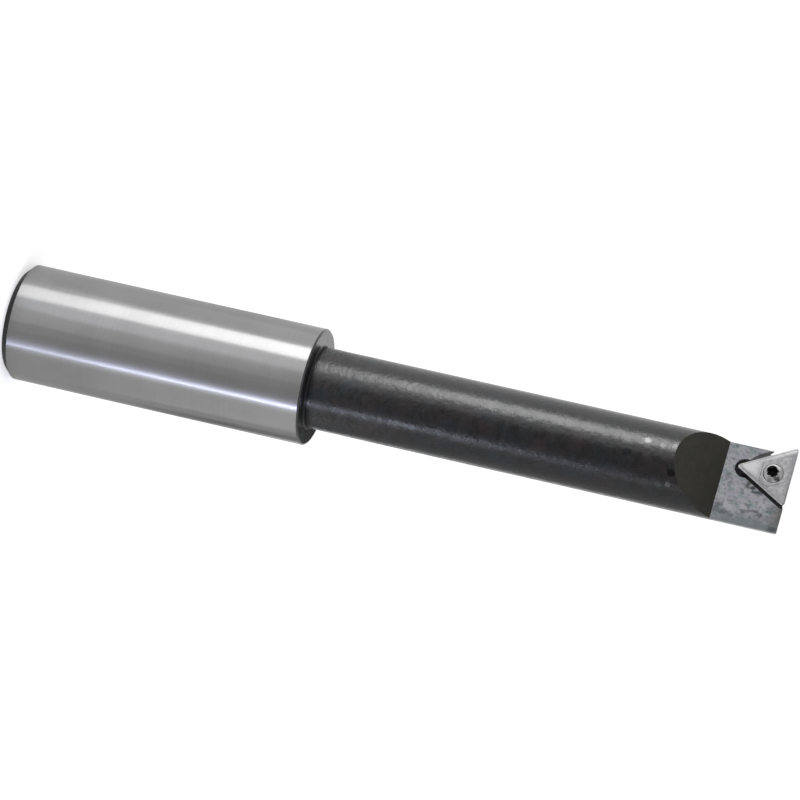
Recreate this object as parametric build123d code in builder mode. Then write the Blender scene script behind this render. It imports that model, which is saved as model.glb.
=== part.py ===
from build123d import *
from math import radians, sqrt, tan
import os

# Boring bar: a one-piece bar with a plain shank, and a three-cornered insert screwed into its head.
# It stands on the rear end of the shank: the origin is the centre of that end face, +Z runs along
# the bar towards the insert, and -Y is the side that the insert's top faces. Millimetres.

# Bar
shank_diameter = 19.05
shank_length = 50.8
shank_end_chamfer = 1.2
shoulder_edge_chamfer = 0.25
neck_diameter = 13.3
neck_root_fillet = 0.4
bar_reach = 77.46  # shoulder to the insert's end edge
head_length = 10.84  # insert's end edge to the foot of the ramp
head_flat_drop = 0.52  # head flat below the bar's centre height
ramp_angle = 46.3  # ramp to the bar's axis

# Insert, with its top at centre height
insert_circle = 6.0  # circle that touches its three edges
insert_thickness = 2.38
insert_nose_radius = 0.4
insert_foot_nose_radius = 0.2
insert_clearance_angle = 11
insert_corner_reach = 7.7  # bar's axis to the cutting corner
insert_overhang = 0.04  # insert's end flank beyond the bar's end face
chip_land = 0.12
chip_groove_depth = 0.1
chip_groove_edge_angle = 55
chip_groove_side_width = 0.6
chip_island_corner_reach = 1.95  # insert's centre to the island's cut corners
chip_island_edge_angle = 45

# Pocket in the head
pocket_gap = 0.45  # open gap beside the insert, above the seat's walls
pocket_corner_radius = 0.9
seat_wall_height = 0.65
corner_relief_radius = 1.6
corner_relief_gap = 0.54
corner_relief_depth = 0.1  # below the seat's floor
scoop_width = 0.92
scoop_length = 6.24
scoop_shift = 0.35

# Screw
screw_diameter = 2.5
screw_reach = 5.5  # insert's top to the end of the thread
screw_end_chamfer = 0.3
screw_head_diameter = 3.1
screw_dome_height = 0.5
screw_hole_clearance = 0.15
countersink_diameter = 3.5
countersink_angle = 60
socket_core_diameter = 1.45
socket_lobe_diameter = 0.5
socket_depth = 1.0

# Worked out from the sizes above
insert_inner_radius = insert_circle / 2
insert_foot_circle = insert_circle - 2 * insert_thickness * tan(radians(insert_clearance_angle))
nose_reach = insert_circle - insert_nose_radius
corner_rise = sqrt(3) * (insert_inner_radius - insert_nose_radius) + insert_nose_radius
insert_end = shank_length + bar_reach
insert_centre = (corner_rise - insert_corner_reach, 0, insert_end - insert_inner_radius)
insert_plane = Plane(origin=insert_centre, x_dir=(1, 0, 0), z_dir=(0, -1, 0))
head_flat_plane = insert_plane.offset(-head_flat_drop)
pocket_depth = insert_thickness - head_flat_drop
neck_radius = neck_diameter / 2
inner_corner = -90  # direction of the insert's inner corner in the insert's plane
wall_turn = -120  # about +Y, turns the insert's plane to lie along the wall on the cutting side
cone_slope = tan(radians(countersink_angle / 2))
screw_head_seat = (countersink_diameter - screw_head_diameter) / 2 / cone_slope
screw_neck_seat = (countersink_diameter - screw_diameter) / 2 / cone_slope

os.makedirs("parts", exist_ok=True)

with BuildPart() as bar_body:
    # Shank and neck
    with BuildSketch(Plane.XY):
        Circle(shank_diameter / 2)
    extrude(amount=shank_length)
    chamfer(bar_body.faces().sort_by(Axis.Z)[0].edges(), length=shank_end_chamfer)
    chamfer(bar_body.faces().sort_by(Axis.Z)[-1].edges(), length=shoulder_edge_chamfer)
    with BuildSketch(Plane.XY.offset(shank_length)):
        Circle(neck_radius)
    extrude(amount=bar_reach)
    shoulder_face = bar_body.faces().filter_by(Plane.XY).sort_by(Axis.Z)[1]
    fillet(shoulder_face.inner_wires()[0].edges(), radius=neck_root_fillet)

    # Half of the head is milled away down to the flat, with a ramp up to the neck
    ramp_foot = insert_end - head_length
    ramp_rise = (neck_diameter + head_flat_drop) / tan(radians(ramp_angle))
    with BuildSketch(Plane.YZ):
        with BuildLine():
            Polyline(
                (head_flat_drop, ramp_foot),
                (head_flat_drop, insert_end),
                (-neck_diameter, insert_end),
                (-neck_diameter, ramp_foot - ramp_rise),
                close=True,
            )
        make_face()
    extrude(amount=neck_diameter, both=True, mode=Mode.SUBTRACT)

    # End face, leaning back below the insert's end flank
    end_lean = neck_diameter * tan(radians(insert_clearance_angle))
    end_top = insert_end - insert_overhang
    with BuildSketch(Plane.YZ):
        with BuildLine():
            Polyline(
                (0, end_top),
                (neck_diameter, end_top - end_lean),
                (neck_diameter, end_top + end_lean),
                (-neck_diameter, end_top + end_lean),
                close=True,
            )
        make_face()
    extrude(amount=neck_diameter, both=True, mode=Mode.SUBTRACT)

    # Seat: a floor and two walls that lean with the insert's flanks
    with BuildSketch(insert_plane):
        RegularPolygon(radius=insert_circle, side_count=3, rotation=inner_corner)
    with BuildSketch(insert_plane.offset(-insert_thickness)):
        RegularPolygon(radius=insert_foot_circle, side_count=3, rotation=inner_corner)
    loft(ruled=True, mode=Mode.SUBTRACT)

    # Open gap above the seat's walls, round at its corners
    with BuildSketch(head_flat_plane) as gap_outline:
        RegularPolygon(radius=insert_circle + 2 * pocket_gap, side_count=3, rotation=inner_corner)
        fillet(gap_outline.vertices(), radius=pocket_corner_radius)
    extrude(amount=seat_wall_height - pocket_depth, mode=Mode.SUBTRACT)

    # Scoop beside the insert, open to the cutting side
    with BuildSketch(head_flat_plane.rotated((0, wall_turn, 0))):
        with BuildLine():
            scoop_start = (-scoop_shift - scoop_length / 2, insert_inner_radius)
            scoop_end = (-scoop_shift + scoop_length / 2, insert_inner_radius)
            ThreePointArc(scoop_start, (-scoop_shift, insert_inner_radius + scoop_width), scoop_end)
            Line(scoop_end, scoop_start)
        make_face()
    extrude(amount=seat_wall_height - pocket_depth, mode=Mode.SUBTRACT)

    # Round relief at the insert's inner corner
    with BuildSketch(head_flat_plane):
        with Locations((0, corner_relief_radius - corner_relief_gap - nose_reach)):
            Circle(corner_relief_radius)
    extrude(amount=-pocket_depth - corner_relief_depth, mode=Mode.SUBTRACT)

    # Tapped hole, through to the back of the head
    with BuildSketch(insert_plane):
        Circle(screw_diameter / 2)
    extrude(amount=-neck_diameter, mode=Mode.SUBTRACT)

bar_body.part.label = "bar_body"
export_step(bar_body.part, "parts/bar_body.step")

with BuildPart() as insert:
    # Three-cornered body, smaller at its foot
    with BuildSketch(insert_plane) as insert_outline:
        RegularPolygon(radius=insert_circle, side_count=3, rotation=inner_corner)
        fillet(insert_outline.vertices(), radius=insert_nose_radius)
    with BuildSketch(insert_plane.offset(-insert_thickness)) as foot_outline:
        RegularPolygon(radius=insert_foot_circle, side_count=3, rotation=inner_corner)
        fillet(foot_outline.vertices(), radius=insert_foot_nose_radius)
    loft(ruled=True)

    # Chip groove all round, with an island left in the middle
    with BuildSketch(insert_plane) as groove_outline:
        RegularPolygon(radius=insert_circle - 2 * chip_land, side_count=3, rotation=inner_corner)
        fillet(groove_outline.vertices(), radius=insert_nose_radius - chip_land)
    extrude(amount=-chip_groove_depth, taper=chip_groove_edge_angle, mode=Mode.SUBTRACT)
    with BuildSketch(insert_plane.offset(-chip_groove_depth)):
        RegularPolygon(
            radius=insert_circle - 2 * chip_groove_side_width, side_count=3, rotation=inner_corner
        )
        RegularPolygon(
            radius=2 * chip_island_corner_reach,
            side_count=3,
            rotation=-inner_corner,
            mode=Mode.INTERSECT,
        )
    extrude(amount=chip_groove_depth, taper=chip_island_edge_angle)

    # Screw hole with its countersink
    with BuildSketch(insert_plane):
        Circle(screw_diameter / 2 + screw_hole_clearance)
    extrude(amount=-insert_thickness, mode=Mode.SUBTRACT)
    with BuildSketch(insert_plane):
        Circle(countersink_diameter / 2)
    extrude(amount=-screw_neck_seat, taper=countersink_angle / 2, mode=Mode.SUBTRACT)

insert.part.label = "insert"
export_step(insert.part, "parts/insert.step")

with BuildPart() as insert_screw:
    # Threaded stem, conical seat and low dome
    screw_radius = screw_diameter / 2
    head_radius = screw_head_diameter / 2
    dome_radius = (head_radius**2 + screw_dome_height**2) / 2 / screw_dome_height
    with BuildSketch(Plane(origin=insert_centre)):
        with BuildLine():
            Polyline(
                (0, screw_reach),
                (screw_radius - screw_end_chamfer, screw_reach),
                (screw_radius, screw_reach - screw_end_chamfer),
                (screw_radius, screw_neck_seat),
                (head_radius, screw_head_seat),
                (head_radius, 0),
            )
            RadiusArc((head_radius, 0), (0, -screw_dome_height), dome_radius)
            Line((0, -screw_dome_height), (0, screw_reach))
        make_face()
    revolve(axis=Axis(insert_centre, (0, 1, 0)))

    # Six-lobed key socket
    with BuildSketch(insert_plane.offset(screw_dome_height)):
        Circle(socket_core_diameter / 2)
        with PolarLocations(socket_core_diameter / 2, 6):
            Circle(socket_lobe_diameter / 2)
    extrude(amount=-socket_depth, mode=Mode.SUBTRACT)

insert_screw.part.label = "insert_screw"
export_step(insert_screw.part, "parts/insert_screw.step")
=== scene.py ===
from functools import reduce
from math import asin, atan2, cos, pi, radians, sin, sqrt, tan

import bmesh
import bpy
from mathutils import Matrix, Vector


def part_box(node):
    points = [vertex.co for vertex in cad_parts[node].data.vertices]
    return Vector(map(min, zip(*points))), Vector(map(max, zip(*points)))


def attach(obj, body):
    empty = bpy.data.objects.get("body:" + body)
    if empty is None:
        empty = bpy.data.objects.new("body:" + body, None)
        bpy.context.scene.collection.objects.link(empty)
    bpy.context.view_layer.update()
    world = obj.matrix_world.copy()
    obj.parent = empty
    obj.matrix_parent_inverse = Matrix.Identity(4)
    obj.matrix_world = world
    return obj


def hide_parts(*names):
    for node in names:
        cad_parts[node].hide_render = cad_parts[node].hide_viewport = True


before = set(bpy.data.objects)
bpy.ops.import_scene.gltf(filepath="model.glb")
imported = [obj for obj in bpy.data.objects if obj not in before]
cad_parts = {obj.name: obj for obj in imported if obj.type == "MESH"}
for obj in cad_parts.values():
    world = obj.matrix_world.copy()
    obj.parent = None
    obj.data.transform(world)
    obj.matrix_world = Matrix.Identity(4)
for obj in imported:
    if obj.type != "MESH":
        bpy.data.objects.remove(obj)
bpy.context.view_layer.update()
perMetre = 1000  # pieces are shaped in millimetres and brought to metres at the end


def inMillimetres(node):
    low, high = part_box(node)
    return low * perMetre, high * perMetre


barHigh = inMillimetres("bar_body")[1]
insertLow, insertHigh = inMillimetres("insert")
screwLow, screwHigh = inMillimetres("insert_screw")
screwAxisX = (screwLow.x + screwHigh.x) / 2
screwAxisZ = (screwLow.z + screwHigh.z) / 2
print("frame: bar is", round(barHigh.z, 2), "mm tall")


# Node trees, for shaders and for geometry alike

# an operator and its reflected form, which both add a Math node
def mathOperator(operation):
    def plain(self, other):
        return self.math(operation, self, other)

    def reflected(self, other):
        return self.math(operation, other, self)

    return plain, reflected


# one output of a node, which can stand in sums with others and with numbers
class Wire:
    __add__, __radd__ = mathOperator("ADD")
    __sub__, __rsub__ = mathOperator("SUBTRACT")
    __mul__, __rmul__ = mathOperator("MULTIPLY")
    __truediv__, __rtruediv__ = mathOperator("DIVIDE")
    __gt__, __lt__ = mathOperator("GREATER_THAN")

    def __init__(self, graph, socket):
        self.graph = graph
        self.socket = socket

    def math(self, operation, *values):
        return self.graph.node("ShaderNodeMath", {"operation": operation}, dict(enumerate(values)))

    def shaped(self, operation):
        return self.math(operation, self)

    def most(self, other):
        return self.math("MAXIMUM", self, other)

    # a pattern from 0 to 1, brought to swing this far about 0 in all
    def swing(self, reach):
        return (self - 0.5) * reach

    def output(self, name):
        return Wire(self.graph, self.socket.node.outputs[name])


class Graph:
    def __init__(self, tree):
        self.tree = tree
        tree.nodes.clear()

    def node(self, kind, settings=None, values=None, output=0):
        made = self.tree.nodes.new(kind)
        for name, value in (settings or {}).items():
            setattr(made, name, value)
        for key, value in (values or {}).items():
            if isinstance(value, Wire):
                self.tree.links.new(value.socket, made.inputs[key])
            else:
                made.inputs[key].default_value = value
        found = made.outputs[output] if len(made.outputs) else None
        return Wire(self, found)

    # coordinates in millimetres, fixed to the piece
    def place(self, stretch=(1, 1, 1)):
        spot = self.node("ShaderNodeTexCoord", output="Object")
        scale = [perMetre * s for s in stretch]
        return self.node("ShaderNodeMapping", values={"Vector": spot, "Scale": scale})

    def split(self, vector):
        parts = self.node("ShaderNodeSeparateXYZ", values={0: vector})
        return parts, parts.output("Y"), parts.output("Z")

    def noise(self, scale, detail, roughness, stretch=(1, 1, 1)):
        values = {"Scale": scale, "Detail": detail, "Roughness": roughness}
        values["Vector"] = self.place(stretch)
        return self.node("ShaderNodeTexNoise", values=values)

    def blend(self, amount, first, second):
        values = {0: amount, 6: first, 7: second}
        return self.node("ShaderNodeMix", {"data_type": "RGBA"}, values, 2)

    # start up to low, end from high on, smooth between
    def fade(self, value, low, high, start=0.0, end=1.0):
        values = {0: value, 1: low, 2: high, 3: start, 4: end}
        return self.node("ShaderNodeMapRange", {"interpolation_type": "SMOOTHSTEP"}, values)

    # 1 in the core of a round or oval mark, 0 outside it, with an edge that the noise roughens
    def mark(self, place, middle, size, ragged=0.0, core=0.45):
        values = {"Vector": place, "Location": middle, "Scale": size}
        spot = self.node("ShaderNodeMapping", {"vector_type": "TEXTURE"}, values)
        away = self.node("ShaderNodeVectorMath", {"operation": "LENGTH"}, {0: spot}, "Value")
        return self.fade(away + ragged, 1.0, core)

    # the strongest of several marks, each given by its middle, size and strength
    def marks(self, place, table, ragged=0.0, core=0.45):
        found = [
            self.mark(place, middle, size, ragged, core) * strength
            for middle, size, strength in table
        ]
        return reduce(Wire.most, found)

    def bump(self, height, strength, depth):
        values = {"Height": height, "Strength": strength, "Distance": depth / perMetre}
        return self.node("ShaderNodeBump", values=values)

    def principled(self, **values):
        names = {key.replace("_", " "): value for key, value in values.items()}
        return self.node("ShaderNodeBsdfPrincipled", values=names)

    def finish(self, shader):
        self.node("ShaderNodeOutputMaterial", values={"Surface": shader})


def newMaterial(name):
    material = bpy.data.materials.new(name)
    material.use_nodes = True
    return material, Graph(material.node_tree)


def grey(level):
    return (level, level, level, 1)


# Finishes. A noise is given as its scale, detail, roughness and stretch, a fade as the values where
# it starts and ends, a shine as how far a pattern moves the roughness, and a relief as the strength
# and depth of its bumps.

endless = 1e6  # a mark of this size runs right through the piece
evenFade = (0.35, 0.65)

shankFinish = {
    "colour": grey(0.40),
    "wornColour": (0.354, 0.353, 0.352, 1),
    "roughness": 0.32,
    "grindRelief": (0.25, 0.002),
    "rings": (1.0, 3, 0.6, (0.15, 0.15, 9)),
    "ringTone": 0.4,
    "fineRings": (1.0, 2, 0.5, (0.4, 0.4, 40)),
    "fineRingShine": 0.06,
    "clouds": (0.12, 3, 0.5),
    "cloudTone": 0.6,
    "cloudShine": 0.05,
}


def groundSteel():
    finish = shankFinish
    material, graph = newMaterial("groundSteel")
    rings = graph.noise(*finish["rings"])
    fineRings = graph.noise(*finish["fineRings"])
    clouds = graph.noise(*finish["clouds"])
    tone = clouds * finish["cloudTone"] + rings * finish["ringTone"]
    shine = fineRings.swing(finish["fineRingShine"]) + clouds.swing(finish["cloudShine"])
    grind = (rings + fineRings) * 0.5
    tone = graph.fade(tone, *evenFade)
    graph.finish(graph.principled(
        Base_Color=graph.blend(tone, finish["wornColour"], finish["colour"]),
        Metallic=1.0,
        Roughness=finish["roughness"] + shine,
        Anisotropic=1.0,
        Anisotropic_Rotation=0.25,
        Normal=graph.bump(grind, *finish["grindRelief"]),
    ))
    return material


oxideFinish = {
    "dark": (0.005, 0.004, 0.004, 1),
    "warm": (0.014, 0.009, 0.009, 1),
    "cool": (0.004, 0.008, 0.010, 1),
    "bare": grey(0.45),
    "soot": (0.004, 0.004, 0.005, 1),
    "ior": 1.62,
    "sootIor": 1.2,
    "roughness": 0.28,
    "sootRoughness": 0.75,
    "rootStart": (50.77, 50.93, 0, 0.8),  # of the dull fillet, along the bar
    "rootEnd": (51.38, 51.22),
    "skinRelief": (0.7, 0.09),
    "clouds": (0.5, 4, 0.6),
    "cloudShine": 0.1,
    "tint": (0.22, 3, 0.6),
    "tintFade": (0.40, 0.60),
    "grain": (1.15, 2.5, 0.45),
    "grainShine": 0.15,
    "sootShine": 0.2,
    "fine": (5.0, 2, 0.5),
    "feed": (1.0, 2, 0.5, (0.2, 0.2, 7)),  # turning marks
    "feedShare": 0.08,
    # middle, size and strength of each worn speck
    "specks": [
        ((-0.42, -6.64, 102.66), (0.90, 0.8, 1.00), 0.12),
        ((-1.05, -6.57, 105.87), (0.66, 0.6, 0.80), 0.40),
        ((-0.69, -6.61, 108.38), (0.60, 0.5, 0.65), 0.26),
        ((-1.06, -6.56, 110.21), (0.60, 0.5, 0.60), 0.26),
        ((4.73, -4.67, 110.44), (0.60, 0.6, 0.60), 0.20),
        ((4.98, -4.41, 108.97), (0.60, 0.6, 0.60), 0.08),
        ((4.77, -4.64, 51.45), (0.45, 0.5, 0.45), 0.25),
    ],
    "speckRagged": 1.6,
    # and of each sooty patch
    "stains": [
        ((3.19, -5.84, 110.65), (0.80, 1.0, 0.90), 0.8),
        ((1.58, -6.46, 103.20), (0.80, 1.0, 0.90), 0.5),
    ],
    "stainRagged": 1.0,
}


def blackOxide():
    finish = oxideFinish
    material, graph = newMaterial("blackOxide")
    place = graph.place()
    clouds = graph.noise(*finish["clouds"])
    tint = graph.noise(*finish["tint"])
    grain = graph.noise(*finish["grain"])
    fine = graph.noise(*finish["fine"])
    feed = graph.noise(*finish["feed"])
    colour = graph.blend(graph.fade(tint, *finish["tintFade"]), finish["warm"], finish["cool"])
    colour = graph.blend(graph.fade(clouds, *evenFade), finish["dark"], colour)
    bare = graph.marks(place, finish["specks"], fine.swing(finish["speckRagged"]))
    height = feed * finish["feedShare"] + grain * (1 - finish["feedShare"])
    normal = graph.bump(height, *finish["skinRelief"])
    shine = grain.swing(finish["grainShine"]) + clouds.swing(finish["cloudShine"])
    skin = graph.principled(
        Base_Color=graph.blend(bare, colour, finish["bare"]),
        Metallic=bare,
        IOR=finish["ior"],
        Roughness=finish["roughness"] + shine,
        Normal=normal,
    )
    soot = graph.principled(
        Base_Color=finish["soot"],
        IOR=finish["sootIor"],
        Roughness=finish["sootRoughness"] + grain.swing(finish["sootShine"]),
        Normal=normal,
    )
    along = graph.split(place)[2]
    root = graph.fade(along, *finish["rootStart"]) * graph.fade(along, *finish["rootEnd"])
    sooty = graph.marks(place, finish["stains"], grain.swing(finish["stainRagged"]))
    graph.finish(graph.node("ShaderNodeMixShader", values={0: root.most(sooty), 1: skin, 2: soot}))
    return material


rampFinish = {
    "dark": (0.017, 0.017, 0.012, 1),
    "light": (0.026, 0.024, 0.017, 1),
    "ior": 1.35,
    "roughness": 0.6,
    "clouds": (0.7, 3, 0.5),
    "cloudFade": (0.3, 0.7),
    "passes": (1.0, 2, 0.5, (0.3, 6, 6)),  # milling marks
    "passShine": 0.1,
    "passRelief": (0.3, 0.004),
}


def rampOxide():
    finish = rampFinish
    material, graph = newMaterial("rampOxide")
    clouds = graph.noise(*finish["clouds"])
    tone = graph.fade(clouds, *finish["cloudFade"])
    passes = graph.noise(*finish["passes"])
    graph.finish(graph.principled(
        Base_Color=graph.blend(tone, finish["dark"], finish["light"]),
        IOR=finish["ior"],
        Roughness=finish["roughness"] + passes.swing(finish["passShine"]),
        Normal=graph.bump(passes, *finish["passRelief"]),
    ))
    return material


headFinish = {
    "pale": (0.40, 0.40, 0.42, 1),
    "lilac": (0.36, 0.345, 0.40, 1),
    # fades and colours laid over those, where low is the lower part of the flat
    "layers": {
        "tint": ((0.48, 0.66), (0.26, 0.30, 0.305, 1)),
        "spots": ((0.48, 0.70, 0, 0.70), (0.15, 0.16, 0.165, 1)),
        "end": ((125.8, 128.2), (0.135, 0.13, 0.125, 1)),
        "low": ((3.6, 6.4, 0, 0.8), (0.16, 0.18, 0.18, 1)),
    },
    "lowWander": 3,
    # the colour of the stains, and of the painted shadow of the insert
    "stainAndShadow": (0.07, 0.08, 0.08, 1),
    "side": (0.16, 0.165, 0.165, 1),
    "sideFrom": (6.55, 6.62),  # distance from the bar's axis
    "roughness": 0.28,
    "clouds": (0.55, 3, 0.5),
    "cloudFade": (0.4, 0.62),
    "tint": (0.9, 3, 0.6, (1.3, 1.3, 0.8)),
    "spots": (1.9, 3, 0.55),
    "spotShine": 0.25,
    "spotRelief": (0.3, 0.01),
    # each stain on the flat, some of them painted shadow: its middle across and along, its size
    # across and along, its strength
    "stains": [
        (-6.28, 119.00, 0.50, 0.70, 0.25),
        (-1.06, 118.42, 0.90, 0.70, 0.35),
        (0.37, 118.95, 0.80, 0.60, 0.35),
        # these four are painted shadow of the insert, in a row beside the gap along its lower edge
        (-0.20, 121.85, 0.90, 0.90, 0.80),
        (0.20, 122.80, 1.00, 1.15, 0.95),
        (0.75, 123.85, 0.80, 1.10, 0.90),
        (1.60, 125.00, 0.60, 0.80, 0.40),
        (3.00, 119.95, 0.50, 1.30, 0.60),
        (3.89, 118.41, 0.55, 0.70, 0.50),
        (3.20, 122.65, 0.60, 0.65, 0.60),
        (4.33, 122.30, 0.50, 0.90, 0.55),
        (3.88, 123.85, 0.45, 1.30, 0.65),
        (4.40, 124.80, 0.60, 0.70, 0.65),
        (3.20, 126.30, 1.20, 1.10, 0.45),
        (5.20, 119.10, 0.70, 2.30, 0.55),
        (4.60, 117.90, 1.50, 0.90, 0.55),
        (6.40, 127.30, 0.90, 1.20, 0.70),
        (4.60, 126.20, 1.10, 1.30, 0.40),
    ],
    "stainAndShadowLevel": 0.52,
    "stainAndShadowReach": 1,
    "stainAndShadowShine": 0.2,
    "stainAndShadowCore": 0.25,
    "stainRagged": 2.2,
    "ragged": (1.3, 4, 0.55, (1.6, 1, 0.8)),
}


def headSteel():
    finish = headFinish
    material, graph = newMaterial("headSteel")
    place = graph.place()
    x, y, z = graph.split(place)
    clouds = graph.noise(*finish["clouds"])
    tint = graph.noise(*finish["tint"])
    spots = graph.noise(*finish["spots"])
    colour = graph.blend(graph.fade(clouds, *finish["cloudFade"]), finish["pale"], finish["lilac"])
    low = x + clouds.swing(finish["lowWander"])
    patterns = {"tint": tint, "spots": spots, "end": z, "low": low}
    for name, (limits, layer) in finish["layers"].items():
        colour = graph.blend(graph.fade(patterns[name], *limits), colour, layer)
    ragged = graph.noise(*finish["ragged"])
    ragged = ragged.swing(finish["stainRagged"])
    stains = [
        ((across, finish["stainAndShadowLevel"], along), (wide, finish["stainAndShadowReach"], long), strength)
        for across, along, wide, long, strength in finish["stains"]
    ]
    stainAndShadow = graph.marks(place, stains, ragged, finish["stainAndShadowCore"])
    # real stains, and the insert's painted shadow beside the gap
    colour = graph.blend(stainAndShadow, colour, finish["stainAndShadow"])
    away = (x * x + y * y).shaped("SQRT")
    colour = graph.blend(graph.fade(away, *finish["sideFrom"]), colour, finish["side"])
    shine = spots.swing(finish["spotShine"]) + stainAndShadow * finish["stainAndShadowShine"]
    graph.finish(graph.principled(
        Base_Color=colour,
        Metallic=1.0,
        Roughness=finish["roughness"] + shine,
        Normal=graph.bump(spots, *finish["spotRelief"]),
    ))
    return material


pocketFinish = {
    "light": (0.55, 0.54, 0.54, 1),
    # painted shade: the dark grey for the pocket's deep parts, the near black for the relief
    "dark": (0.11, 0.105, 0.11, 1),
    "reliefShadeColour": (0.035, 0.03, 0.04, 1),
    "paintedShadeDepths": (0.55, 1.30),  # below the bar's axis, where painted shade turns the pocket from light to dark
    "depthWander": 0.3,
    # middles and sizes of two marks: the scoop, which gets less of the painted shade, and the
    # painted shade in the relief
    "scoop": ((-5.7, 0, 122.0), (2.5, endless, 4.3)),
    "scoopLight": 0.7,
    "paintedReliefShade": ((-2.3, 0, 119.8), (1.4, endless, 1.7)),
    "metal": 0.8,
    "roughness": 0.45,
    "clouds": (1.2, 3, 0.5),
    "cloudShine": 0.2,
    "cloudRelief": (0.3, 0.01),
}


# steel in the insert's pocket, with painted shade that darkens it towards the floor and most in the
# relief, and less of it in the scoop
def pocketSteel():
    finish = pocketFinish
    material, graph = newMaterial("pocketSteel")
    place = graph.place()
    clouds = graph.noise(*finish["clouds"])
    scoop = graph.mark(place, *finish["scoop"])
    depth = graph.split(place)[1] + clouds.swing(finish["depthWander"])
    # painted shade, growing with depth below the axis and lifted in the scoop
    deep = graph.fade(depth, *finish["paintedShadeDepths"]) * (1 - scoop * finish["scoopLight"])
    colour = graph.blend(deep, finish["light"], finish["dark"])
    # painted shade in the relief
    paintedReliefShade = graph.mark(place, *finish["paintedReliefShade"])
    graph.finish(graph.principled(
        Base_Color=graph.blend(paintedReliefShade, colour, finish["reliefShadeColour"]),
        Metallic=finish["metal"],
        Roughness=finish["roughness"] + clouds.swing(finish["cloudShine"]),
        Normal=graph.bump(clouds, *finish["cloudRelief"]),
    ))
    return material


carbideFinish = {
    "light": (0.53, 0.53, 0.54, 1),
    "dark": (0.37, 0.37, 0.38, 1),
    # painted highlight, and below it painted shade, for the light and shade on the insert's edges
    # and groove
    "paintedHighlight": (0.78, 0.78, 0.79, 1),
    "shade": (0.27, 0.27, 0.28, 1),
    # the countersink's cone is painted near white: painted light that lifts the shade in the gap
    # round the screw head
    "cone": grey(0.97),
    "coneFrom": 0.02,
    "roughness": 0.30,
    "clouds": (1.5, 3, 0.6),
    "cloudBreak": 0.3,
    "grain": (14.0, 2, 0.6),
    "grainShine": 0.12,
    "grainRelief": (0.3, 0.004),
    # each band is the product of two fades of the distance inwards from an edge, and paints
    # highlight or shade along the edges, land and groove
    "highlightBands": [
        [("cutting", 0.85, 0.40), ("end", 5.2, 2.0, 0.45, 1.0)],
        [("end", 4.6, 6.2, 0, 0.8), ("inner", 0.5, 0.8)],  # the corner deepest in the bar
        [("inner", -0.02, 0.06, 0, 0.3), ("inner", 0.28, 0.20)],
    ],
    # painted shade along the edges, the groove and the island's corners
    "shadeBands": [
        [("end", 0.95, 0.6, 0, 0.45), ("cutting", 0.7, 1.2)],
        [("inner", 0.28, 0.38, 0, 0.8), ("inner", 0.55, 0.45)],
        [("inner", 1.6, 0.5, 0, 0.4), ("cutting", 1.0, 2.0)],
        [("corner", 1.07, 1.23, 0, 0.25), ("corner", 1.38, 1.22)],
    ],
}


# distance inwards from an edge of the insert, by the turn of the edge from the X axis
def edgeDistance(x, z, turn):
    across = (x - screwAxisX) * cos(radians(turn))
    return insertHigh.z - screwAxisZ - across - (z - screwAxisZ) * sin(radians(turn))


# 1 within this distance of the screw's axis, 0 outside it
def nearScrewAxis(x, z, radius):
    across = x - screwAxisX
    along = z - screwAxisZ
    return across * across + along * along < radius * radius


def satinCarbide():
    finish = carbideFinish
    material, graph = newMaterial("satinCarbide")
    place = graph.place()
    x, y, z = graph.split(place)
    clouds = graph.noise(*finish["clouds"])
    grain = graph.noise(*finish["grain"])
    colour = graph.blend(graph.fade(clouds, *evenFade), finish["light"], finish["dark"])
    turns = {"inner": -30, "cutting": 210, "end": 90}
    edges = {name: edgeDistance(x, z, turn) for name, turn in turns.items()}
    edges["corner"] = (edges["end"] + edges["cutting"]) * cos(radians(60))

    def bands(table):
        pairs = [[graph.fade(edges[name], *limits) for name, *limits in pair] for pair in table]
        return reduce(Wire.most, [first * second for first, second in pairs])

    # painted highlight along the edges
    paintedHighlight = bands(finish["highlightBands"])
    paintedHighlight = paintedHighlight + clouds.swing(finish["cloudBreak"]) * paintedHighlight
    colour = graph.blend(paintedHighlight, colour, finish["paintedHighlight"])
    colour = graph.blend(bands(finish["shadeBands"]), colour, finish["shade"])
    # painted light in the countersink
    paintedConeLight = nearScrewAxis(x, z, insertSizes["countersink"]) * (y > finish["coneFrom"])
    graph.finish(graph.principled(
        Base_Color=graph.blend(paintedConeLight, colour, finish["cone"]),
        Metallic=1.0,
        Roughness=finish["roughness"] + grain.swing(finish["grainShine"]),
        Normal=graph.bump(grain, *finish["grainRelief"]),
    ))
    return material


screwFinish = {
    "light": grey(0.62),
    "dark": (0.46, 0.46, 0.47, 1),
    # the head's painted highlight and painted shades, laid on in this order: middle across and
    # along, size across and along, raggedness, core, strength and grey
    "marks": {
        "paintedTopHighlight": (-4.45, 124.40, 1.20, 1.60, 0, 0.45, 1, 0.97),
        "shade": (-2.60, 126.50, 1.70, 0.95, 0, 0.45, 1, 0.30),
        "paintedLowShade": (-1.97, 126.02, 0.50, 0.75, 0.8, 0.45, 0.9, 0.06),
        "paintedSocketShade": (-3.18, 125.02, 1.0, 1.0, 0, 0.72, 1, 0.02),
    },
    "socketShadeShine": 0.4,
    # the head's flank is painted near white: painted light that lifts the shade in the gap inside
    # the countersink
    "flank": grey(0.97),
    "flankFrom": 0.015,  # the head's flank lies deeper than this, outside the face
    "faceRadius": 1.45,
    "roughness": 0.32,
    "clouds": (2.0, 3, 0.5),
    "cloudShine": 0.15,
    "cloudRelief": (0.2, 0.006),
}


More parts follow.
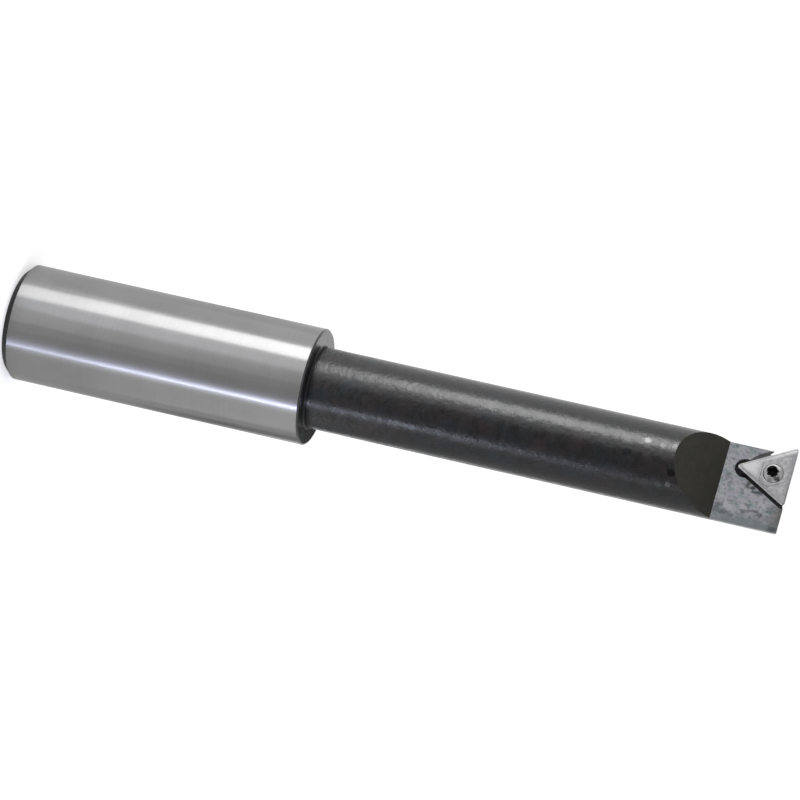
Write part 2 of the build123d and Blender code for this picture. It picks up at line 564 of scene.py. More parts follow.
def screwSteel():
    finish = screwFinish
    material, graph = newMaterial("screwSteel")
    place = graph.place()
    x, y, z = graph.split(place)
    clouds = graph.noise(*finish["clouds"])
    colour = graph.blend(graph.fade(clouds, *evenFade), finish["light"], finish["dark"])
    laid = {}
    # the marks paint a highlight at the top of the head, shade at its lower side and over the
    # socket
    for name, mark in finish["marks"].items():
        across, along, wide, long, ragged, core, strength, level = mark
        ragged = clouds.swing(ragged)
        found = graph.mark(place, (across, 0, along), (wide, endless, long), ragged, core)
        laid[name] = found * strength
        colour = graph.blend(laid[name], colour, grey(level))
    # painted light on the head's flank
    flank = (y > finish["flankFrom"]) * (1 - nearScrewAxis(x, z, finish["faceRadius"]))
    # the socket's painted shade is also made rougher
    shine = clouds.swing(finish["cloudShine"]) + laid["paintedSocketShade"] * finish["socketShadeShine"]
    graph.finish(graph.principled(
        Base_Color=graph.blend(flank, colour, finish["flank"]),
        Metallic=1.0,
        Roughness=finish["roughness"] + shine,
        Normal=graph.bump(clouds, *finish["cloudRelief"]),
    ))
    return material


# Mesh tools, in millimetres

weldDistance = 1e-4
tinyDistance = 1e-5
ringWeldDistance = 1e-6


def addObject(name, mesh):
    piece = bpy.data.objects.new(name, mesh)
    bpy.context.scene.collection.objects.link(piece)
    return piece


# quads between rings that have the same number of points, with flat ends or joined end to end
def ringMesh(name, rings, endToEnd=False):
    bm = bmesh.new()
    rows = [[bm.verts.new(point) for point in ring] for ring in rings]
    pairs = list(zip(rows, rows[1:]))
    if endToEnd:
        pairs.append((rows[-1], rows[0]))
    else:
        bm.faces.new(rows[0])
        bm.faces.new(rows[-1])
    for low, high in pairs:
        for i in range(len(low)):
            j = (i + 1) % len(low)
            bm.faces.new((low[i], low[j], high[j], high[i]))
    bmesh.ops.remove_doubles(bm, verts=bm.verts, dist=ringWeldDistance)
    bmesh.ops.recalc_face_normals(bm, faces=bm.faces)
    mesh = bpy.data.meshes.new(name)
    bm.to_mesh(mesh)
    bm.free()
    return addObject(name, mesh)


# a solid between two copies of an outline, whose points the two places turn into mesh points
def prism(name, outline, firstPlace, lastPlace):
    return ringMesh(name, [[firstPlace(p) for p in outline], [lastPlace(p) for p in outline]])


# the object's mesh as its modifiers make it
def bake(piece):
    bpy.context.view_layer.update()
    graph = bpy.context.evaluated_depsgraph_get()
    mesh = bpy.data.meshes.new_from_object(piece.evaluated_get(graph), depsgraph=graph)
    piece.modifiers.clear()
    piece.data = mesh
    return piece


def combine(piece, other, operation):
    modifier = piece.modifiers.new("combine", "BOOLEAN")
    modifier.operation = operation
    modifier.solver = "EXACT"
    modifier.object = other
    bake(piece)
    bpy.data.objects.remove(other)
    return piece


def breakEdges(piece, width, angle=30):
    bevel = piece.modifiers.new("edges", "BEVEL")
    bevel.width = width
    bevel.segments = 2
    bevel.limit_method = "ANGLE"
    bevel.angle_limit = radians(angle)
    bevel.use_clamp_overlap = True
    return bake(piece)


# a cut can leave slivers that lie back to back once they are triangles, so both go
def dropFolds(bm):
    bmesh.ops.triangulate(bm, faces=[face for face in bm.faces if len(face.verts) > 4])
    found = {}
    for face in bm.faces:
        found.setdefault(frozenset(face.verts), []).append(face)
    doubled = [face for faces in found.values() if len(faces) > 1 for face in faces]
    bmesh.ops.delete(bm, geom=doubled, context="FACES")


# cleans, shades and scales a finished piece
def toMetres(piece, sharpAngle=40):
    bm = bmesh.new()
    bm.from_mesh(piece.data)
    bmesh.ops.remove_doubles(bm, verts=bm.verts, dist=weldDistance)
    bmesh.ops.dissolve_degenerate(bm, edges=bm.edges, dist=tinyDistance)
    dropFolds(bm)
    bmesh.ops.recalc_face_normals(bm, faces=bm.faces)
    bm.to_mesh(piece.data)
    bm.free()
    weigh = piece.modifiers.new("normals", "WEIGHTED_NORMAL")
    weigh.keep_sharp = True
    piece.data.shade_smooth()
    piece.data.set_sharp_from_angle(angle=radians(sharpAngle))
    bake(piece)
    piece.data.transform(Matrix.Scale(1 / perMetre, 4))
    return piece


# Geometry node trees

# a tree with named inputs, its graph, and the wires of its inputs
def geometryTree(name, inputs):
    tree = bpy.data.node_groups.new(name, "GeometryNodeTree")
    tree.interface.new_socket("Geometry", in_out="INPUT", socket_type="NodeSocketGeometry")
    for label, kind in inputs.items():
        tree.interface.new_socket(label, in_out="INPUT", socket_type=kind)
    tree.interface.new_socket("Geometry", in_out="OUTPUT", socket_type="NodeSocketGeometry")
    graph = Graph(tree)
    start = graph.node("NodeGroupInput")
    return tree, graph, start


def closeTree(graph, geometry, material):
    geometry = graph.node("GeometryNodeRealizeInstances", values={"Geometry": geometry})
    values = {"Geometry": geometry, "Material": material}
    geometry = graph.node("GeometryNodeSetMaterial", values=values)
    graph.node("NodeGroupOutput", values={"Geometry": geometry})


def runTree(piece, tree, values):
    modifier = piece.modifiers.new(tree.name, "NODES")
    modifier.node_group = tree
    for item in tree.interface.items_tree:
        if item.in_out == "INPUT" and item.name in values:
            modifier[item.identifier] = values[item.name]
    return bake(piece)


# a grid of around x along points, and the wires of its rolled angle and of its row's number
def rolledGrid(graph, around, along):
    values = {"Size X": 1.0, "Size Y": 1.0, "Vertices X": around + 1, "Vertices Y": along}
    grid = graph.node("GeometryNodeMeshGrid", values=values)
    x, y = graph.split(graph.node("GeometryNodeInputPosition"))[:2]
    angle = (x + 0.5) * (2 * pi)
    row = ((y + 0.5) * (along - 1)).shaped("ROUND")
    return grid, angle, row


def rollUp(graph, grid, radius, angle, height):
    values = {
        "X": radius * angle.shaped("COSINE"),
        "Y": radius * angle.shaped("SINE"),
        "Z": height,
    }
    spot = graph.node("ShaderNodeCombineXYZ", values=values)
    rolled = graph.node("GeometryNodeSetPosition", values={"Geometry": grid, "Position": spot})
    values = {"Geometry": rolled, "Distance": weldDistance}
    return graph.node("GeometryNodeMergeByDistance", values=values)


# turns a profile, whose points run from end to end in the XZ plane, about the Z axis
def turningTree():
    inputs = {"Around": "NodeSocketInt", "Material": "NodeSocketMaterial"}
    tree, graph, start = geometryTree("turnProfile", inputs)
    profile = start.output("Geometry")
    along = graph.node("GeometryNodeAttributeDomainSize", values={"Geometry": profile})
    grid, angle, row = rolledGrid(graph, start.output("Around"), along)
    values = {"Geometry": profile, "Value": graph.node("GeometryNodeInputPosition"), "Index": row}
    spot = graph.node("GeometryNodeSampleIndex", {"data_type": "FLOAT_VECTOR"}, values)
    parts = graph.split(spot)
    closeTree(graph, rollUp(graph, grid, parts[0], angle, parts[2]), start.output("Material"))
    return tree


# a rod along Z with a screw thread cut into it; its first and last rows close the ends
def threadTree():
    lengths = ("Radius", "Depth", "Pitch", "Crest", "Root", "Length", "EndTaper")
    inputs = {label: "NodeSocketFloat" for label in lengths}
    inputs.update({"Around": "NodeSocketInt", "Along": "NodeSocketInt"})
    inputs["Material"] = "NodeSocketMaterial"
    tree, graph, start = geometryTree("threadedRod", inputs)
    along = start.output("Along")
    length = start.output("Length")
    grid, angle, row = rolledGrid(graph, start.output("Around"), along)
    share = (row - 1) / (along - 3)
    height = graph.node("ShaderNodeClamp", values={"Value": share}) * length
    turns = height / start.output("Pitch") - angle / (2 * pi)
    flank = (turns.shaped("FRACT") * 2 - 1).shaped("ABSOLUTE")
    values = {0: flank, 1: start.output("Crest"), 2: start.output("Root")}
    groove = graph.node("ShaderNodeMapRange", values=values)
    values = {0: length - height, 1: start.output("EndTaper"), 2: 0.0}
    taper = graph.node("ShaderNodeMapRange", values=values)
    radius = start.output("Radius") - start.output("Depth") * groove.most(taper)
    inside = (row > 0.5) * (row < along - 1.5)
    closeTree(graph, rollUp(graph, grid, radius * inside, angle, height), start.output("Material"))
    return tree


# Bar

barSizes = {
    "shankLength": 50.8,
    "shankRadius": barHigh.x,
    "rearChamfer": 1.2,
    "shoulderChamfer": 0.25,
    "neckRadius": 6.65,
    "neckRootFillet": 0.4,
    "filletSteps": 8,
    "flatDrop": 0.52,  # head flat below the axis
    "rampFoot": 117.42,
    "rampMargin": 0.02,  # the profile has a ring this far below the ramp's foot
    "rampAngle": 46.3,
    "endLean": 11,
    "endTop": 128.22,  # end face at the height of the axis
    "edgeBreak": 0.05,
    "around": 256,
    "spare": 4,  # cutters of the outside reach this far beyond what they cut
}
pocketSizes = {
    "insertRadius": insertHigh.z - screwAxisZ,  # circle that touches the insert's edges
    "insertThickness": insertHigh.y - insertLow.y,
    "clearanceAngle": 11,
    "gap": 0.45,
    "gapCorner": 0.9,
    "wallHeight": 0.65,
    "scoopWidth": 0.92,
    "scoopLength": 6.24,
    "scoopShift": 0.35,
    "scoopSteps": 24,
    "reliefRadius": 1.6,
    "reliefGap": 0.54,
    "reliefDepth": 0.1,
    "noseReach": 5.6,
    "around": 96,
    "spare": 1,  # and those of the pocket this far
}
threadSizes = {
    "radius": 1.25,
    "depth": 0.22,
    "pitch": 0.45,
    "crest": 0.12,  # the flank runs between these shares of half a pitch
    "root": 0.88,
    "around": 48,
    "rowsPerMm": 18,
    "holeFade": 0.01,
    "holeStart": 0.5,  # the cutter of the hole starts this far above the seat
}
# how far a face's middle lies from the lines that part the finishes, and how far it leans
finishLimits = {
    "shankMargin": 0.02,
    "shankLean": 0.3,
    "footMargin": 0.01,
    "endLean": 0.9,
    "flatMargin": 0.02,
    "pocketMargin": 0.04,
    "rampMargin": 0.03,
    "rampLean": 0.5,
    "rampFrom": 100,
}
barFinishes = (groundSteel, blackOxide, rampOxide, headSteel, pocketSteel)


def barProfile():
    size = barSizes
    shank = size["shankRadius"]
    neck = size["neckRadius"]
    top = barHigh.z + size["spare"]
    shoulder = size["shankLength"]
    points = [
        (0, 0),
        (shank - size["rearChamfer"], 0),
        (shank, size["rearChamfer"]),
        (shank, shoulder - size["shoulderChamfer"]),
        (shank - size["shoulderChamfer"], shoulder),
    ]
    fillet = size["neckRootFillet"]
    for step in range(size["filletSteps"] + 1):
        turn = pi / 2 * step / size["filletSteps"]
        radius = neck + fillet - fillet * sin(turn)
        points.append((radius, shoulder + fillet - fillet * cos(turn)))
    points += [(neck, size["rampFoot"] - size["rampMargin"]), (neck, top), (0, top)]
    return points


def polyline(name, points):
    mesh = bpy.data.meshes.new(name)
    edges = [(i, i + 1) for i in range(len(points) - 1)]
    mesh.from_pydata([(r, 0, z) for r, z in points], edges, [])
    return addObject(name, mesh)


cornerTurns = [radians(turn) for turn in (-90, 30, 150)]  # the ways the insert's corners point


# triangle round the insert's middle, given by the circle that touches its sides
def seatTriangle(radius):
    return [(2 * radius * cos(a), 2 * radius * sin(a)) for a in cornerTurns]


# from the insert's own plane, u to the right and v along the bar, at a depth below centre
def seatPlace(depth):
    return lambda p: (screwAxisX + p[0], depth, screwAxisZ + p[1])


def headCutters():
    size = barSizes
    spare = size["spare"]
    side = size["neckRadius"] + spare
    drop = size["flatDrop"]
    run = (side + drop) / tan(radians(size["rampAngle"]))
    rise = side * tan(radians(size["endLean"]))
    top = barHigh.z + 2 * spare
    half = [(drop, size["rampFoot"]), (drop, top), (-side, top), (-side, size["rampFoot"] - run)]
    end = [(-side, size["endTop"] + rise), (side, size["endTop"] - rise), (side, top), (-side, top)]
    for name, outline in (("cutHalf", half), ("cutEnd", end)):
        yield prism(name, outline, lambda p: (-side, *p), lambda p: (side, *p))


def pocketCutters():
    size = pocketSizes
    drop = barSizes["flatDrop"]
    radius = size["insertRadius"]
    thick = size["insertThickness"]
    footRadius = radius - thick * tan(radians(size["clearanceAngle"]))
    seat = [seatTriangle(radius), seatTriangle(footRadius)]
    seatRings = [[seatPlace(0)(p) for p in seat[0]], [seatPlace(thick)(p) for p in seat[1]]]
    yield ringMesh("cutSeat", seatRings)
    gapFloor = thick - size["wallHeight"]
    lift = drop - size["spare"]
    gap = []
    for turn in cornerTurns:
        gap += noseArc(radius + size["gap"], size["gapCorner"], turn)
    yield prism("cutGap", gap, seatPlace(lift), seatPlace(gapFloor))
    # the scoop is a shallow arc laid along the wall on the cutting side
    half = size["scoopLength"] / 2
    arcRadius = (half ** 2 + size["scoopWidth"] ** 2) / 2 / size["scoopWidth"]
    reach = asin(half / arcRadius)
    turns = [reach * (2 * i / size["scoopSteps"] - 1) for i in range(size["scoopSteps"] + 1)]
    crown = radius + size["scoopWidth"] - arcRadius
    arc = [(arcRadius * sin(t), crown + arcRadius * cos(t)) for t in turns]
    wallTurn = Matrix.Rotation(radians(120), 2)
    scoop = [wallTurn @ Vector((u - size["scoopShift"], v)) for u, v in arc]
    yield prism("cutScoop", scoop, seatPlace(lift), seatPlace(gapFloor))
    bore = size["reliefRadius"]
    middle = bore - size["reliefGap"] - size["noseReach"]
    turns = [2 * pi * i / size["around"] for i in range(size["around"])]
    relief = [(bore * cos(t), middle + bore * sin(t)) for t in turns]
    yield prism("cutRelief", relief, seatPlace(lift), seatPlace(thick + size["reliefDepth"]))


# a threaded rod along the screw's axis, between two depths below centre
def threadedRod(name, tree, near, far, taper, radius):
    rod = addObject(name, bpy.data.meshes.new(name))
    runTree(rod, tree, {
        "Radius": radius,
        "Depth": threadSizes["depth"],
        "Pitch": threadSizes["pitch"],
        "Crest": threadSizes["crest"],
        "Root": threadSizes["root"],
        "Length": far - near,
        "EndTaper": taper,
        "Around": threadSizes["around"],
        "Along": round((far - near) * threadSizes["rowsPerMm"]),
    })
    lay = Matrix.Rotation(-pi / 2, 4, "X")  # +Z of the rod runs along +Y
    rod.data.transform(Matrix.Translation((screwAxisX, near, screwAxisZ)) @ lay)
    return rod


def finishOfFace(centre, normal):
    size = barSizes
    limit = finishLimits
    radius = sqrt(centre.x ** 2 + centre.y ** 2)
    if centre.z < size["shankLength"]:
        outside = radius > size["shankRadius"] - limit["shankMargin"]
        return groundSteel if outside and abs(normal.z) < limit["shankLean"] else blackOxide
    if centre.z > size["rampFoot"] - limit["footMargin"]:
        atEnd = normal.z > limit["endLean"]
        below = centre.y > size["flatDrop"] + limit["flatMargin"]
        inPocket = below and radius < size["neckRadius"] - limit["pocketMargin"]
        return pocketSteel if inPocket and not atEnd else headSteel
    inside = radius < size["neckRadius"] - limit["rampMargin"]
    onRamp = normal.z > limit["rampLean"] and centre.z > limit["rampFrom"]
    return rampOxide if inside and onRamp else blackOxide


def makeBar(turning, threading):
    bar = polyline("barBody", barProfile())
    runTree(bar, turning, {"Around": barSizes["around"]})
    for cutter in (*headCutters(), *pocketCutters()):
        combine(bar, cutter, "DIFFERENCE")
    breakEdges(bar, barSizes["edgeBreak"])
    size = threadSizes
    near = pocketSizes["insertThickness"] - size["holeStart"]
    far = barSizes["neckRadius"] + pocketSizes["spare"]
    hole = threadedRod("cutThread", threading, near, far, size["holeFade"], size["radius"])
    combine(bar, hole, "DIFFERENCE")
    bar.data.materials.clear()
    for makeFinish in barFinishes:
        bar.data.materials.append(makeFinish())
    for face in bar.data.polygons:
        face.material_index = barFinishes.index(finishOfFace(face.center, face.normal))
    toMetres(bar)
    return bar


# Insert

insertSizes = {
    "nose": 0.4,
    "footNose": 0.2,
    "leastNose": 0.06,
    "hone": 0.03,
    "honeBend": 0.3,  # where the hone's middle ring lies, as a share of it
    "land": 0.12,
    "grooveDepth": 0.1,
    "grooveEdgeAngle": 55,
    "grooveWidth": 0.6,
    "grooveShares": (0.06, 0.25, 0.5, 0.75, 0.94),  # rings on the groove's way down
    "islandCorner": 1.95,
    "islandEdgeAngle": 45,
    "islandShares": (0.15, 0.5, 0.85),  # and on its way up again
    "edgeStep": 0.02,  # level rings stand this far from the edges
    "countersink": 1.62,
    "countersinkBreak": (0.01, 0.005),  # depth and width of its broken edge
    "seatRadius": 1.555,  # where the screw's head bears on the cone
    "seatDepth": 0.3464,
    "coneAngle": 30,
    "bore": 1.4,
    "cornerSteps": 8,
    "sideSteps": 18,
}


# points of one corner, from one side of its direction to the other, about the insert's middle
def noseArc(circle, nose, direction):
    steps = insertSizes["cornerSteps"]
    reach = 2 * (circle - nose)
    middle = Vector((reach * cos(direction), reach * sin(direction)))
    turns = [direction + radians(60) * (i / steps - 1) for i in range(2 * steps + 1)]
    return [middle + nose * Vector((cos(t), sin(t))) for t in turns]


def cutCorner(side, corner, direction):
    steps = insertSizes["cornerSteps"]
    reach = (2 * side - corner) / sqrt(3)
    out = Vector((cos(direction), sin(direction)))
    along = Vector((-out.y, out.x))
    return [out * corner + along * reach * (i / steps - 1) for i in range(2 * steps + 1)]


def roundCorner(radius, direction):
    steps = insertSizes["cornerSteps"]
    turns = [direction + radians(30) * (i / steps - 1) for i in range(2 * steps + 1)]
    return [radius * Vector((cos(t), sin(t))) for t in turns]


# a ring of mesh points at a depth, from a rule that makes its corners
def insertRing(depth, corner, roundRadius=0):
    corners = [corner(turn) for turn in cornerTurns]
    points = []
    steps = insertSizes["sideSteps"]
    for i, part in enumerate(corners):
        points += part
        following = corners[(i + 1) % len(corners)][0]
        for step in range(1, steps):
            point = part[-1].lerp(following, step / steps)
            if roundRadius:
                start = atan2(part[-1].y, part[-1].x)
                turn = start + radians(60) * step / steps
                point = roundRadius * Vector((cos(turn), sin(turn)))
            points.append(point)
    return [seatPlace(depth)(p) for p in points]


def insertRings():
    size = insertSizes
    thick = pocketSizes["insertThickness"]
    circle = pocketSizes["insertRadius"]
    slope = tan(radians(pocketSizes["clearanceAngle"]))
    foot = circle - thick * slope
    hone = size["hone"]

    def triangle(depth, inset):
        nose = max(size["nose"] - inset, size["leastNose"])
        return insertRing(depth, lambda a: noseArc(circle - inset, nose, a))

    def hexagon(depth, inset):
        side = circle - size["grooveWidth"] - inset
        return insertRing(depth, lambda a: cutCorner(side, size["islandCorner"] - inset, a))

    def ring(depth, radius):
        return insertRing(depth, lambda a: roundCorner(radius, a), radius)

    def flankRing(depth):
        share = depth / thick
        nose = size["nose"] + (size["footNose"] - size["nose"]) * share
        return insertRing(depth, lambda a: noseArc(circle - depth * slope, nose, a))

    yield ring(thick, size["bore"] + hone)
    yield insertRing(thick, lambda a: noseArc(foot - hone, size["footNose"] - hone, a))
    for depth in (thick - hone, thick * 0.5, 2 * hone, hone):
        yield flankRing(depth)
    yield triangle(hone * size["honeBend"], hone * size["honeBend"])
    yield triangle(0, hone)
    land = size["land"]
    step = size["edgeStep"]
    deep = size["grooveDepth"]
    yield triangle(0, land - step)
    run = deep * tan(radians(size["grooveEdgeAngle"]))
    for share in size["grooveShares"]:
        yield triangle(deep * (0.5 - 0.5 * cos(pi * share)), land + run * share)
    yield triangle(deep, land + run + step)
    rise = deep / tan(radians(size["islandEdgeAngle"]))
    yield hexagon(deep, -step)
    for share in size["islandShares"]:
        yield hexagon(deep * (0.5 + 0.5 * cos(pi * share)), rise * share)
    yield hexagon(0, rise + step)
    cone = tan(radians(size["coneAngle"]))
    breakDepth, breakWidth = size["countersinkBreak"]
    yield ring(0, size["countersink"] + step)
    yield ring(breakDepth, size["countersink"] - breakWidth)
    yield ring(size["seatDepth"], size["seatRadius"])
    yield ring(size["seatDepth"] + (size["seatRadius"] - size["bore"]) / cone, size["bore"])
    yield ring(thick - hone, size["bore"])


def makeInsert():
    piece = ringMesh("cuttingInsert", list(insertRings()), endToEnd=True)
    piece.data.materials.append(satinCarbide())
    return toMetres(piece, 50)


# Screw

screwSizes = {
    "headRadius": 1.55,
    "domeHeight": 0.5,
    "neckSeat": 0.866,
    "headSeat": 0.3464,
    "end": screwHigh.y,
    "socketCore": 0.725,
    "lobeRadius": 0.25,
    "socketDepth": 1.0,
    "pointRadius": 0.25,
    "pointDepth": 0.12,
    "rimBreak": 0.03,
    "rimBend": 0.3,  # where the broken rim's middle ring lies, as a share of it
    "edgeStep": 0.02,
    "faceMargin": 0.03,
    "threadFrom": 1.0,  # below the neck's seat
    "plainStem": 1.2,
    "stemGap": 0.01,
    "endTaper": 0.3,
    "around": 96,
    "domeSteps": 10,
}


def socketRadius(angle, grow=0.0):
    size = screwSizes
    away = (angle + radians(30)) % radians(60) - radians(30)
    reach = size["socketCore"]
    lobe = size["lobeRadius"] + grow
    if abs(sin(away)) * reach < lobe:
        far = reach * cos(away) + sqrt(lobe ** 2 - (reach * sin(away)) ** 2)
        return max(reach + grow, far)
    return reach + grow


def domeDepth(radius):
    size = screwSizes
    sphere = (size["headRadius"] ** 2 + size["domeHeight"] ** 2) / 2 / size["domeHeight"]
    return sphere - size["domeHeight"] - sqrt(sphere ** 2 - radius ** 2)


def screwRing(radiusAt, depthAt):
    turns = [2 * pi * i / screwSizes["around"] for i in range(screwSizes["around"])]
    points = []
    for turn in turns:
        radius = radiusAt(turn)
        points.append(seatPlace(depthAt(radius))((radius * cos(turn), radius * sin(turn))))
    return points


def makeScrew(threading):
    size = screwSizes
    head = size["headRadius"]
    face = head - size["faceMargin"]
    rim = size["rimBreak"]
    bend = rim * size["rimBend"]
    step = size["edgeStep"]
    bottom = size["socketDepth"] - size["domeHeight"]
    stem = threadSizes["radius"]
    rings = [
        screwRing(lambda a: size["pointRadius"], lambda r: bottom + size["pointDepth"]),
        screwRing(socketRadius, lambda r: bottom),
        screwRing(socketRadius, lambda r: domeDepth(r) + rim),
        screwRing(lambda a: socketRadius(a, bend), lambda r: domeDepth(r) + bend),
        screwRing(lambda a: socketRadius(a, rim), domeDepth),
    ]
    for i in range(size["domeSteps"]):
        share = (i + 1) / size["domeSteps"]
        rings.append(screwRing(
            lambda a: socketRadius(a, rim) * (1 - share) + face * share, domeDepth
        ))
    outside = [
        (head, step),
        (head, size["headSeat"] - step),
        (head - step, size["headSeat"] + step),
        (stem, size["neckSeat"]),
        (stem, size["neckSeat"] + size["plainStem"]),
    ]
    for radius, depth in outside:
        rings.append(screwRing(lambda a: radius, lambda r: depth))
    screw = ringMesh("insertScrew", rings)
    near = size["neckSeat"] + size["threadFrom"]
    radius = stem - size["stemGap"]
    rod = threadedRod("screwStem", threading, near, size["end"], size["endTaper"], radius)
    combine(screw, rod, "UNION")
    screw.data.materials.clear()
    screw.data.materials.append(screwSteel())
    return toMetres(screw)


turning = turningTree()
threading = threadTree()
bar = makeBar(turning, threading)
print("bar:", len(bar.data.polygons), "faces")
insert = makeInsert()
print("insert:", len(insert.data.polygons), "faces")
screw = makeScrew(threading)
print("screw:", len(screw.data.polygons), "faces")

pieceTable = [
    (bar, "bar_body", "bar_steel"),
    (insert, "insert", "insert_carbide"),
    (screw, "insert_screw", "screw_steel"),
]
for piece, node, slotName in pieceTable:
    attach(piece, "root")
    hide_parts(node)

# Camera

cameraSizes = {
    "place": (0.21401, -0.54831, 0.19460),
    "aim": (-0.00090, -0.00035, 0.06465),
    "roll": 102.703,  # the bar lies across the frame
    "lens": 170.13,
    "sensor": 36,
    "clipStart": 0.01,
}


def makeCamera():
    size = cameraSizes
    data = bpy.data.cameras.new("camera")
    data.lens = size["lens"]
    data.sensor_width = size["sensor"]
    data.clip_start = size["clipStart"]
    camera = bpy.data.objects.new("camera", data)
    place = Vector(size["place"])
    look = (Vector(size["aim"]) - place).to_track_quat("-Z", "Y").to_matrix().to_4x4()
    roll = Matrix.Rotation(radians(size["roll"]), 4, "Z")
    camera.matrix_world = Matrix.Translation(place) @ look @ roll
    bpy.context.scene.collection.objects.link(camera)
    bpy.context.scene.camera = camera


# Studio

studioSizes = {
    "floorSize": 12.0,
    "floorColour": (0.80, 0.80, 0.80, 1),
    "floorGlow": 0.48,
    "skyLight": 0.66,
    "cardLift": 0.0001,
    "cardSteps": 24,
}
# first and last turn from the camera towards the cutting side, in degrees, then the card's
# section as distances from the bar and heights, and its grey
cards = {
    "cardFront": (-16, -2, [(0.0115, 0), (0.2, 0)], 0.58),
    "cardFrontSide": (-44, -16, [(0.0115, 0), (0.2, 0)], 0.47),
    "cardMiddle": (-2, 20, [(0.0115, 0), (0.2, 0)], 0.85),
    "cardFrontFar": (-50, 24, [(0.2, 0), (0.5, 0), (0.5, 0.12)], 0.20),
    "cardFrontHigh": (-44, 10, [(0.5, 0.12), (0.5, 0.7)], 0.60),
    "cardSide": (-165, -58, [(0.0115, 0), (0.09, 0)], 0.58),
    "cardSideNear": (-58, -44, [(0.0115, 0), (0.045, 0)], 0.58),
    "cardSideMiddle": (-110, -58, [(0.09, 0), (0.185, 0)], 1.30),
    "cardSideLow": (-128, -110, [(0.09, 0), (0.2, 0)], 0.55),
    "cardSideEdge": (-165, -128, [(0.09, 0), (0.2, 0)], 0.12),
    "cardSideStep": (-145, -58, [(0.2, 0), (0.27, 0)], 0.25),
    "cardSideFar": (-145, -58, [(0.27, 0), (0.5, 0), (0.5, 0.12)], 0.45),
    "cardSideHigh": (-155, -58, [(0.5, 0.12), (0.5, 0.7)], 0.90),
    "cardCuttingNear": (60, 80, [(0.0115, 0), (0.03, 0)], 0.80),
    "cardCuttingSide": (80, 175, [(0.0115, 0), (0.12, 0)], 0.66),
    "cardCuttingFar": (80, 118, [(0.12, 0), (0.2, 0)], 0.75),
    "cardCuttingEdge": (118, 175, [(0.12, 0), (0.22, 0)], 0.30),
    "cardBehind": (-180, -155, [(0.04, 0.052), (0.04, 0.075)], 0.06),
    "cardBehindCutting": (155, 180, [(0.04, 0.052), (0.04, 0.075)], 1.20),
    "cardFoot": (0, 360, [(0.0075, 0), (0.0115, 0)], 0.25),
}
# flags are cards that also keep the lamps' light off the head
flags = {
    "flagShelf": (30, 85, [(0.0075, 0.1125), (0.2, 0.1125)], 0.75),
    "flagFront": (-75, -20, [(0.04, 0.1125), (0.04, 0.17)], 0.50),
}
# turn, distance, width, height, bottom, watts, colour
lamps = {
    "lampPanel": (60, 0.25, 0.118, 0.105, 0.0, 0.212, (1.0, 0.995, 0.99)),
    "lampStrip": (-48.8, 0.2, 0.007, 0.042, 0.0, 0.0195, (0.74, 0.79, 1.0)),
    "lampStripHigh": (-50, 0.42, 0.015, 0.4, 0.15, 1.05, (0.66, 0.69, 1.0)),
    "lampBack": (170, 1.2, 0.8, 0.8, 0.2, 1.0, (1.0, 1.0, 1.0)),
}
cameraTurn = atan2(cameraSizes["place"][1], cameraSizes["place"][0])


def direction(turn):
    angle = cameraTurn - radians(turn)
    return Vector((cos(angle), sin(angle), 0))


# 1 for rays that see a surface by looking at it, in a mirror or through glass
def lightPath(graph):
    path = graph.node("ShaderNodeLightPath")
    seen = path.output("Is Camera Ray").most(path.output("Is Glossy Ray"))
    return seen.most(path.output("Is Transmission Ray"))


def makeFloor():
    size = studioSizes["floorSize"]
    mesh = bpy.data.meshes.new("floor")
    corners = [(-size, -size, 0), (size, -size, 0), (size, size, 0), (-size, size, 0)]
    mesh.from_pydata(corners, [], [(0, 1, 2, 3)])
    floor = addObject("floor", mesh)
    material, graph = newMaterial("paleFloor")
    diffuse = graph.node("ShaderNodeBsdfDiffuse", values={"Color": studioSizes["floorColour"]})
    glow = graph.node("ShaderNodeEmission", values={
        "Color": grey(1),
        "Strength": lightPath(graph) * studioSizes["floorGlow"],
    })
    graph.finish(graph.node("ShaderNodeAddShader", values={0: diffuse, 1: glow}))
    mesh.materials.append(material)


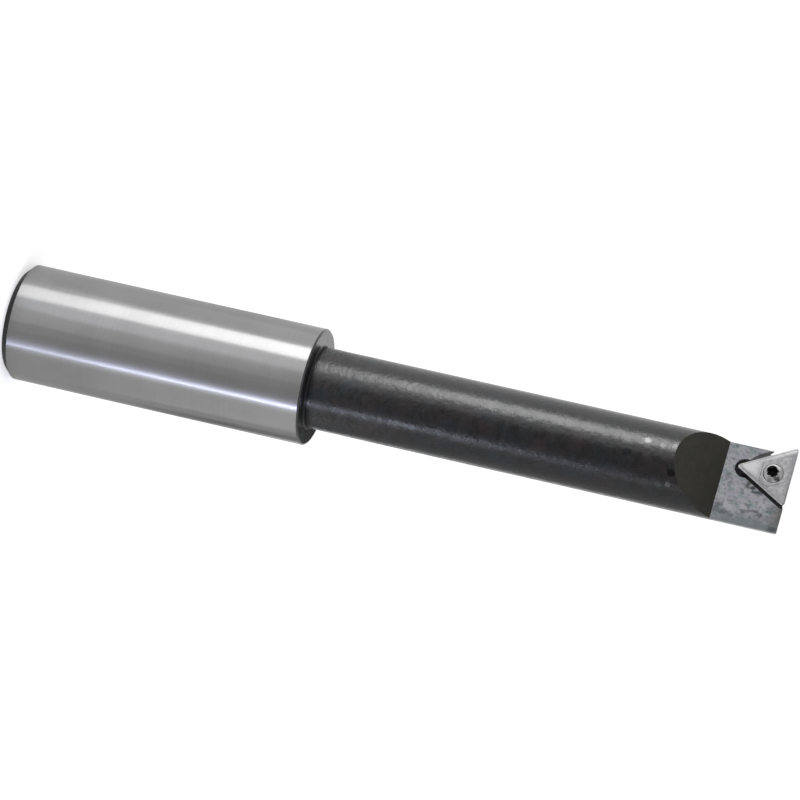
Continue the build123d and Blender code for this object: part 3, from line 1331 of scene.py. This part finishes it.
def makeWorld():
    world = bpy.data.worlds.new("sky")
    world.use_nodes = True
    graph = Graph(world.node_tree)
    seen = lightPath(graph)
    strength = studioSizes["skyLight"] + seen * (1 - studioSizes["skyLight"])
    sky = graph.node("ShaderNodeBackground", values={"Color": grey(1), "Strength": strength})
    graph.node("ShaderNodeOutputWorld", values={"Surface": sky})
    bpy.context.scene.world = world


# cards stand round the bar out of sight, and only the metal shows them
def makeCard(name, rings, level):
    mesh = bpy.data.meshes.new(name)
    across = len(rings[0])
    points = [p for ring in rings for p in ring]
    faces = []
    for row in range(len(rings) - 1):
        for i in range(across - 1):
            first = row * across + i
            faces.append((first, first + 1, first + across + 1, first + across))
    mesh.from_pydata(points, [], faces)
    card = addObject(name, mesh)
    material, graph = newMaterial(name)
    graph.finish(graph.node("ShaderNodeEmission", values={"Color": grey(level), "Strength": 1.0}))
    mesh.materials.append(material)
    card.visible_camera = False
    card.visible_diffuse = False
    card.visible_transmission = False
    card.visible_shadow = name in flags


def makeCards():
    steps = studioSizes["cardSteps"]
    for name, (start, end, section, level) in {**cards, **flags}.items():
        ways = [direction(start + (end - start) * i / steps) for i in range(steps + 1)]
        rings = []
        for away, height in section:
            lift = Vector((0, 0, height + studioSizes["cardLift"]))
            rings.append([way * away + lift for way in ways])
        makeCard(name, rings, level)


def makeLamps():
    for name, (turn, away, width, height, bottom, watts, colour) in lamps.items():
        data = bpy.data.lights.new(name, "AREA")
        data.shape = "RECTANGLE"
        data.size = width
        data.size_y = height
        data.energy = watts
        data.color = colour
        lamp = bpy.data.objects.new(name, data)
        way = direction(turn)
        place = way * away + Vector((0, 0, bottom + height / 2))
        look = way.to_track_quat("Z", "Y").to_matrix().to_4x4()
        lamp.matrix_world = Matrix.Translation(place) @ look
        lamp.visible_camera = False
        bpy.context.scene.collection.objects.link(lamp)


makeCamera()
makeWorld()
makeFloor()
makeCards()
makeLamps()
bpy.context.scene.view_settings.view_transform = "Standard"
print("studio:", len(lamps), "lamps,", len(cards), "cards and", len(flags), "flags")
